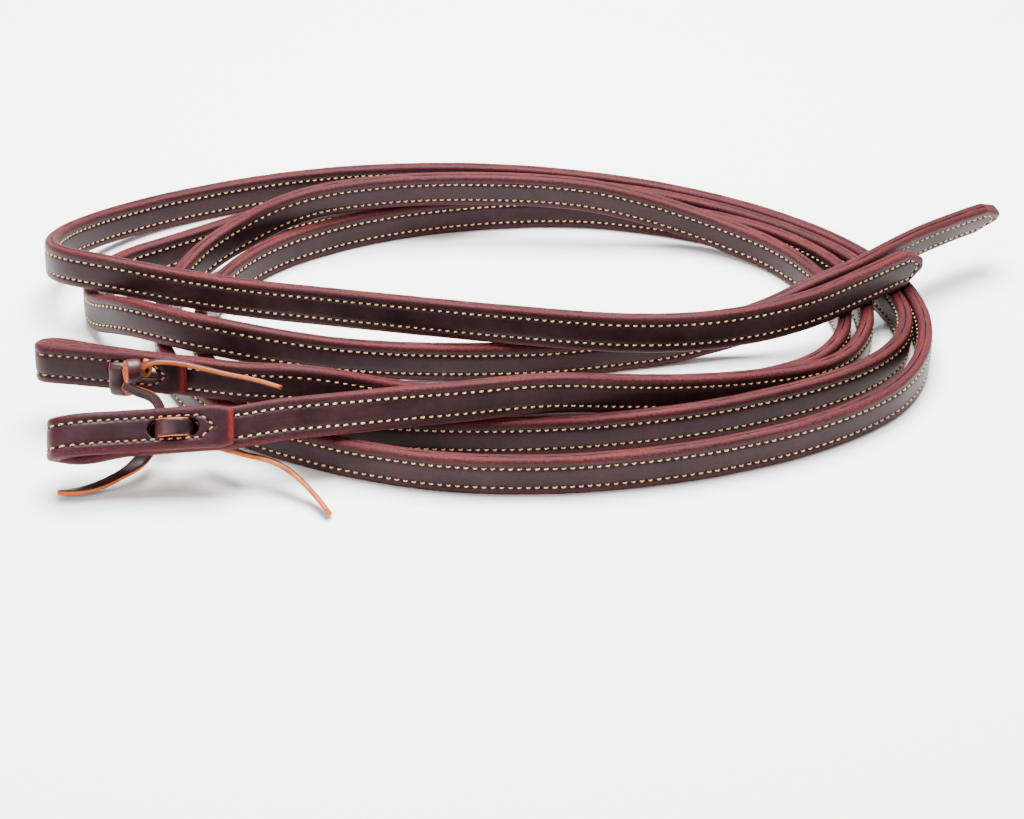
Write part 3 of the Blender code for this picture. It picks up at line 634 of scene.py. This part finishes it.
def makeStitches(name, strap, side, material, seed):
    # each stitch is an arc from hole to hole, a run of rings that thins at both ends, with
    # height = rise * (1 - u^2) - sink * u^6 for u from -1 to 1 along it
    s = stitchSettings
    quarters, offsets, count = stitchRun(strap)
    heads, spots = quarters[0::4], quarters[2::4]
    offHeads, offSpots = offsets[0::4], offsets[2::4]
    rng = np.random.default_rng(seed)
    around, rings = s["around"], len(s["rings"])
    uu = np.array(s["rings"])[None, :, None]
    ff = np.array(s["fatness"])[None, :, None]
    aa = (np.arange(around) * 2 * np.pi / around)[None, None, :]
    pieces = []
    for edgeSign in (1, -1):
        heading = unit(np.c_[np.diff(heads), edgeSign * np.diff(offHeads)])
        turn = np.radians(s["slant"] + rng.normal(0, 2.5, count)) * side
        heading = np.c_[heading[:, 0] * np.cos(turn) - heading[:, 1] * np.sin(turn),
                        heading[:, 0] * np.sin(turn) + heading[:, 1] * np.cos(turn)]
        sideways = np.c_[-heading[:, 1], heading[:, 0]]
        reach = (s["length"] / 2 * (1 + rng.normal(0, 0.04, count)))[:, None, None]
        swing = (s["width"] / 2 * (1 + rng.normal(0, 0.06, count)))[:, None, None]
        goes = uu * reach
        aside = swing * ff * np.cos(aa)
        lift = s["rise"] * (1 - uu**2) - s["sink"] * uu**6 + swing * ff * np.sin(aa) * 0.8
        along = spots[:, None, None] + goes * heading[:, None, None, 0] + aside * sideways[:, None, None, 0]
        across = (edgeSign * offSpots[:, None, None] + goes * heading[:, None, None, 1]
                  + aside * sideways[:, None, None, 1])
        p, base = plySettings, edgeShape[-1, 1]
        floor = (p["seamGap"] + (base - p["channelDepth"]) * thicknessAt(spots)
                 * plyHeight / p["profileHeight"])
        out = side * (floor[:, None, None] + lift) + strapWave(along, seed)
        # the last of these grows from 0 in the middle of a stitch to 1 at its ends, where painted shade
        # darkens the thread going into its holes
        pieces.append((along + 0 * aside, across + 0 * goes, out, np.broadcast_to(np.abs(uu)**3, out.shape)))
    along, across, out, dip = (np.concatenate([piece[k] for piece in pieces]) for k in range(4))
    points = onStrap(strap, along * mm, across * mm, out * mm)
    total = len(points)
    mesh = bpy.data.meshes.new(name)
    start = np.arange(total)[:, None] * rings * around
    ringStart = start[:, :, None] + np.arange(rings - 1)[None, :, None] * around
    k = np.arange(around)[None, None, :]
    after = (k + 1) % around
    quads = np.stack([ringStart + k, ringStart + after, ringStart + around + after,
                      ringStart + around + k], -1)
    if side > 0:
        quads = quads[..., ::-1]
    first = start + np.arange(around)[None, ::-1]
    last = start + (rings - 1) * around + np.arange(around)[None, :]
    caps = np.concatenate([first, last])
    if side > 0:
        caps = caps[:, ::-1]
    mesh.from_pydata(points.reshape(-1, 3).tolist(), [], quads.reshape(-1, 4).tolist() + caps.tolist())
    a, b, c = (points.reshape(-1, 3)[quads.reshape(-1, 4)[:, n]] for n in range(3))
    if np.einsum("ij,ij->i", a - points.reshape(-1, 3)[0], np.cross(b - a, c - a)).sum() < 0:
        mesh.flip_normals()
    layer = mesh.uv_layers.new(name="strapMap")
    corner = np.zeros(len(mesh.loops), np.int32)
    mesh.loops.foreach_get("vertex_index", corner)
    girth = np.broadcast_to(k * s["mapStep"] / 10, along.shape).ravel()
    layer.data.foreach_set("uv", np.c_[along.ravel()[corner] / 10, girth[corner]].ravel())
    attribute = mesh.attributes.new("stitchHoleShade", "FLOAT", "POINT")
    attribute.data.foreach_set("value", dip.astype(np.float32).ravel())
    mesh.shade_smooth()
    mesh.materials.append(material)
    obj = bpy.data.objects.new(name, mesh)
    bpy.context.collection.objects.link(obj)
    return obj


slotSettings = {             # all in mm
    "length": 20.0, "width": 7.4,
    "left": 22.5, "right": 20.5,             # each rein's, from the folded end to the middle
    "depth": 4.0, "reach": 12.0,             # the cutter's middle, in from the strap's, and its half height
}


def byLoop(strap, centre, along, across, depth):
    # a point beside the slot, in metres: along it, across it, and in from the middle of the strap
    return onStrap(strap, np.array([centre - along]), np.array([across]), np.array([depth]))[0]


def makeSlotCutter(name, strap, centre):
    # a stadium: two half circles joined by straights, drawn through both legs of the loop
    middle = byLoop(strap, centre, 0, 0, slotSettings["depth"] * mm)
    origin = byLoop(strap, centre, 0, 0, 0)
    longWay = unit(byLoop(strap, centre, mm, 0, 0) - origin)
    across = unit(byLoop(strap, centre, 0, mm, 0) - origin)
    through = np.cross(longWay, across)
    radius = slotSettings["width"] / 2
    angle = np.linspace(-np.pi / 2, np.pi / 2, 13)
    reach = slotSettings["length"] / 2 - radius
    x = np.r_[np.cos(angle) * radius + reach, -np.cos(angle) * radius - reach] * mm
    y = np.r_[np.sin(angle), -np.sin(angle)] * radius * mm
    ring = middle + x[:, None] * longWay + y[:, None] * across
    through = through * slotSettings["reach"] * mm
    points = np.stack([ring - through, ring + through])
    uv = np.zeros((2, len(x) + 1, 2))
    return makeTube(name, points, uv, [slotWall])


def cutSlot(obj, cutter):
    # applies the cut, then leaves no modifier
    modifier = obj.modifiers.new("slot", "BOOLEAN")
    modifier.object = cutter
    modifier.operation = "DIFFERENCE"
    modifier.solver = "EXACT"
    modifier.material_mode = "TRANSFER"
    graph = bpy.context.evaluated_depsgraph_get()
    cut = bpy.data.meshes.new_from_object(obj.evaluated_get(graph), preserve_all_data_layers=True,
                                          depsgraph=graph)
    obj.modifiers.clear()
    obj.data = cut


laceShape = {                # widths in mm, and one thickness
    "thickness": 1.9, "bight": 6.9, "tail": 4.6, "thinTail": 4.0, "cutTip": 3.2, "behindSlot": 5.6,
    "backPass": 8.0, "band": 6.2, "roll": 5.8, "ring": 3.0,
}


def makeRibbon(name, rows, material):
    # a flat strip with softly rounded corners, carried through rows of a point, the direction of
    # its width and its width in mm; half a superellipse of power 5 gives the section
    table = np.array(rows, float)
    fine = smoothThrough(table, 1500)
    along = alongOf(fine[:, :3])
    tangent = unit(np.gradient(fine[:, :3], along, axis=0))
    across = unit(fine[:, 3:6] - tangent * (fine[:, 3:6] * tangent).sum(1, keepdims=True))
    at = np.linspace(0, along[-1], int(along[-1] / (0.35 * mm)))
    centre, wide, thick, size = (np.stack([np.interp(at, along, v[:, i]) for i in range(v.shape[1])], 1)
                                 for v in (fine[:, :3], across, np.cross(tangent, across), fine[:, 6:7]))
    angle = np.arange(24) * 2 * np.pi / 24
    cos, sin = np.cos(angle), np.sin(angle)
    round5 = (np.abs(cos)**5 + np.abs(sin)**5) ** -0.2
    x, y = cos * round5, sin * round5
    y = y * (1 + 0.05 * (1 - x**2))
    ends = np.clip(np.minimum(at, at[-1] - at) / (0.9 * mm), 0, 1)
    swell = 1 + 0.03 * slowNoise(at / mm, len(rows), (17.0, 9.0, 5.3))
    narrow = (0.8 + 0.2 * np.sqrt(1 - (1 - ends)**2)) * swell
    halfW, halfT = size[:, 0] * mm / 2 * narrow, laceShape["thickness"] / 2 * mm * narrow
    points = (centre[:, None] + wide[:, None] * (halfW[:, None] * x)[..., None]
              + thick[:, None] * (halfT[:, None] * y)[..., None])
    points[..., 2] = np.maximum(points[..., 2], 0.05 * mm)
    cutEnd = np.clip(1 - np.minimum(at, at[-1] - at) / (0.5 * mm), 0, 1)[:, None]
    raw = np.maximum(np.clip((np.abs(x) - 0.90) / 0.08, 0, 1)[None, :], cutEnd)
    girth = girthOf(x * size[0, 0] / 2, y * laceShape["thickness"] / 2)
    uv = np.stack(np.broadcast_arrays(at[:, None] / mm / 10, girth[None, :] / 10), axis=-1)
    return makeTube(name, points, uv, [material], {"rawEdge": raw})


def inMetres(rows, width):
    shift = strapSettings["originShift"]
    return [((x + shift[0]) * mm, (y + shift[1]) * mm, z * mm, *way, width) for x, y, z, *way in rows]


def leftLaceRows(strap, centre):
    # tail, in through the slot from behind, over the front as a bight, out again, tail
    front = -3.9 * mm
    reach = 6.4 * mm
    half = [(-reach - 0.6 * mm, 13.5 * mm), (-reach, 8 * mm), (-reach, 1 * mm),
            (-reach + 1.0 * mm, front + 1.5 * mm), (-reach + 3.4 * mm, front)]
    run = half + [(0, front - 0.3 * mm)] + [(-a, g) for a, g in reversed(half)]
    width = unit(byLoop(strap, centre, 0, mm, 0) - byLoop(strap, centre, 0, 0, 0))
    middle = [(*byLoop(strap, centre, a, 0, g), *width, laceShape["bight"]) for a, g in run]
    tail, behind = laceShape["tail"], laceShape["behindSlot"]
    return (inMetres(leftTailIn[:1], laceShape["cutTip"]) + inMetres(leftTailIn[1:4], tail)
            + inMetres(leftTailIn[4:], behind) + middle
            + inMetres(leftTailOut[:1], behind) + inMetres(leftTailOut[1:], tail))


def backPassRows(strap, centre, depth):
    # the lace's second pass, flat against the far side of the loop
    width = unit(byLoop(strap, centre, 0, mm, 0) - byLoop(strap, centre, 0, 0, 0))
    run = [(-12.5, depth - 1.4), (-9, depth - 0.4), (0, depth), (9, depth - 0.4), (12.5, depth - 1.4)]
    return [(*byLoop(strap, centre, a * mm, 0, g * mm), *width, laceShape["backPass"]) for a, g in run]


def wrapRows(strap, centre, settings):
    # turns of lace round a level axis: point = middle + R * (up * sin + out * cos) of the angle,
    # drifting along the axis by the pitch each turn, with R going from the first radius to the last
    yaw = math.radians(settings["yaw"])
    angle = np.radians(np.arange(settings["from"], settings["to"] + 1, 30))
    share = (angle - angle[0]) / (angle[-1] - angle[0])
    radius = settings["radius"][0] + (settings["radius"][1] - settings["radius"][0]) * share
    drift = settings["pitch"] * (angle - angle[0]) / (2 * np.pi)
    a0, w0, g0 = settings["middle"]
    a = a0 + math.cos(yaw) * drift + math.sin(yaw) * radius * np.cos(angle)
    g = g0 + math.sin(yaw) * drift - math.cos(yaw) * radius * np.cos(angle)
    w = w0 + radius * np.sin(angle)
    origin = byLoop(strap, centre, 0, 0, 0)
    along = byLoop(strap, centre, mm, 0, 0) - origin
    inward = byLoop(strap, centre, 0, 0, mm) - origin
    way = unit(along * math.cos(yaw) + inward * math.sin(yaw))
    return [(*byLoop(strap, centre, p * mm, q * mm, r * mm), *way, settings["width"])
            for p, q, r in zip(a, w, g)]


rightRoll = {"middle": (1.9, 3.5, -8.2), "from": 190, "to": 1000, "radius": (4.5, 0.8), "pitch": 0.1,
             "yaw": 35, "width": laceShape["roll"]}
rightRing = {"middle": (6.8, 4.4, -7.9), "from": 110, "to": 560, "radius": (3.0, 1.1), "pitch": 0.1,
             "yaw": -16, "width": laceShape["ring"]}


def rightTailRows(strap, centre):
    # out of the middle of the roll, along the loop, with its raw edge outwards
    start = [(*byLoop(strap, centre, a * mm, w * mm, g * mm), 0.5, 0.8, 0, laceShape["thinTail"])
             for a, w, g in ((3.4, 3.8, -7.9), (6.0, 4.0, -8.0))]
    return start + inMetres(rightTailOut, laceShape["thinTail"])


def rightDropRows(strap, centre):
    # the other tail, from behind the lower edge of the band down to the ground
    low = [(*byLoop(strap, centre, -3.4 * mm, -4.5 * mm, -4.8 * mm), 0.5, 0.2, 0.8, laceShape["thinTail"])]
    return low + inMetres(rightTailIn, laceShape["thinTail"])


def rightBandRows(strap, centre):
    # from the slot down the front, round the lower edges of both legs, and up behind
    front, low = -4.3, 9.4
    run = [(3.4, front + 2.2), (2.4, front + 0.3), (0, front), (-4, front), (-low + 2.2, front),
           (-low, front + 2.4), (-low - 1.8, 3.5), (-low - 3.0, 10.5), (-low + 1, 13.7), (-4, 14.0),
           (0, 13.8)]
    return [(*byLoop(strap, centre, -6.0 * mm, w * mm, g * mm), 1, -0.2, 0, laceShape["band"])
            for w, g in run]


def joinAs(name, *objs):
    # one piece from several meshes
    with bpy.context.temp_override(active_object=objs[0], selected_editable_objects=list(objs)):
        bpy.ops.object.join()
    objs[0].name = name
    objs[0].data.name = name
    return objs[0]


seeds = {"left": 20, "right": 50}
reins = {}
for rein, strap in straps.items():
    centre = slotSettings[rein] * mm
    cutter = makeSlotCutter(rein + "SlotCutter", strap, centre)
    outer = makePly(rein + "ReinOuterLeather", strap, -1, outerLeather, seeds[rein] + 1)
    inner = makePly(rein + "ReinInnerLeather", strap, 1, innerLeather, seeds[rein] + 2)
    cutSlot(outer, cutter)
    cutSlot(inner, cutter)
    bpy.data.objects.remove(cutter)
    outerThread = makeStitches(rein + "ReinOuterThread", strap, -1, waxedThread, seeds[rein] + 3)
    innerThread = makeStitches(rein + "ReinInnerThread", strap, 1, waxedThread, seeds[rein] + 4)
    reins[rein] = {"outer": outer, "inner": inner, "outerThread": outerThread, "innerThread": innerThread}
    stitches = len(outerThread.data.polygons) // 26   # 24 sides and two ends each
    print(rein, "rein sewn:", len(outer.data.polygons), "faces a ply,", stitches, "stitches a face")

slots = {rein: (straps[rein], slotSettings[rein] * mm) for rein in straps}
reins["left"]["lace"] = joinAs("leftReinLace", makeRibbon("leftLacing", leftLaceRows(*slots["left"]), latigo),
                               makeRibbon("leftBackPass", backPassRows(*slots["left"], 12.6), latigo))
reins["right"]["lace"] = joinAs(
    "rightReinLace",
    makeRibbon("rightBand", rightBandRows(*slots["right"]), latigo),
    makeRibbon("rightRoll", wrapRows(*slots["right"], rightRoll), latigo),
    makeRibbon("rightRing", wrapRows(*slots["right"], rightRing), latigo),
    makeRibbon("rightTail", rightTailRows(*slots["right"]), latigo),
    makeRibbon("rightDrop", rightDropRows(*slots["right"]), latigo))
print("laces tied")

nodeOf = {"outer": "_rein_outer_ply", "inner": "_rein_inner_ply", "outerThread": "_rein_outer_stitching",
          "innerThread": "_rein_inner_stitching", "lace": "_tie_lace"}
for rein, parts in reins.items():
    for key, piece in parts.items():
        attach(piece, "root")
        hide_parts(rein + nodeOf[key])

for rein, length in (("left", 2.111), ("right", 2.148)):
    strap, parts = straps[rein], reins[rein]
print("pieces ride on the frame")

studioSettings = {
    "floor": "#fbfaf9", "floorShade": "#f8f7f6", "world": "#ffffff", "worldStrength": 0.6,
    "overhead": {"place": (0.0, 0.30, 1.25), "aim": (0, 0, 0), "size": 0.9, "power": 120.0},
    "fill": {"place": (-0.9, -1.2, 0.9), "aim": (0, 0, 0), "size": 0.9, "power": 18.0},
}


def makeFloor(settings):
    mesh = bpy.data.meshes.new("studioFloor")
    mesh.from_pydata([(-4, -4, 0), (4, -4, 0), (4, 4, 0), (-4, 4, 0)], [], [(0, 1, 2, 3)])
    material, tree = newMaterial("matteStudioPaper")
    here = addNode(tree, "TexCoord").outputs["Object"]
    tooth = addNode(tree, "TexNoise", {"Vector": here, "Scale": 900.0, "Detail": 2.0}).outputs[0]
    tone = paintLayers(tree, settings["floor"], [(tooth, 0, 1, 0, 1, settings["floorShade"])])
    finishMaterial(tree, {"Base Color": tone, "Roughness": 0.9})
    mesh.materials.append(material)
    obj = bpy.data.objects.new("studioFloor", mesh)
    bpy.context.collection.objects.link(obj)


def makeLight(name, settings):
    data = bpy.data.lights.new(name, "AREA")
    data.shape = "SQUARE"
    data.size = settings["size"]
    data.energy = settings["power"]
    obj = bpy.data.objects.new(name, data)
    obj.location = settings["place"]
    aim = Vector(settings["aim"]) - Vector(settings["place"])
    obj.rotation_euler = aim.to_track_quat("-Z", "Y").to_euler()
    bpy.context.collection.objects.link(obj)


makeFloor(studioSettings)
makeLight("overheadSoftbox", studioSettings["overhead"])
makeLight("fillSoftbox", studioSettings["fill"])
world = bpy.data.worlds.new("studioWorld")
world.use_nodes = True
world.node_tree.nodes["Background"].inputs[0].default_value = toLinear(studioSettings["world"])
world.node_tree.nodes["Background"].inputs[1].default_value = studioSettings["worldStrength"]
bpy.context.scene.world = world
print("studio lit")
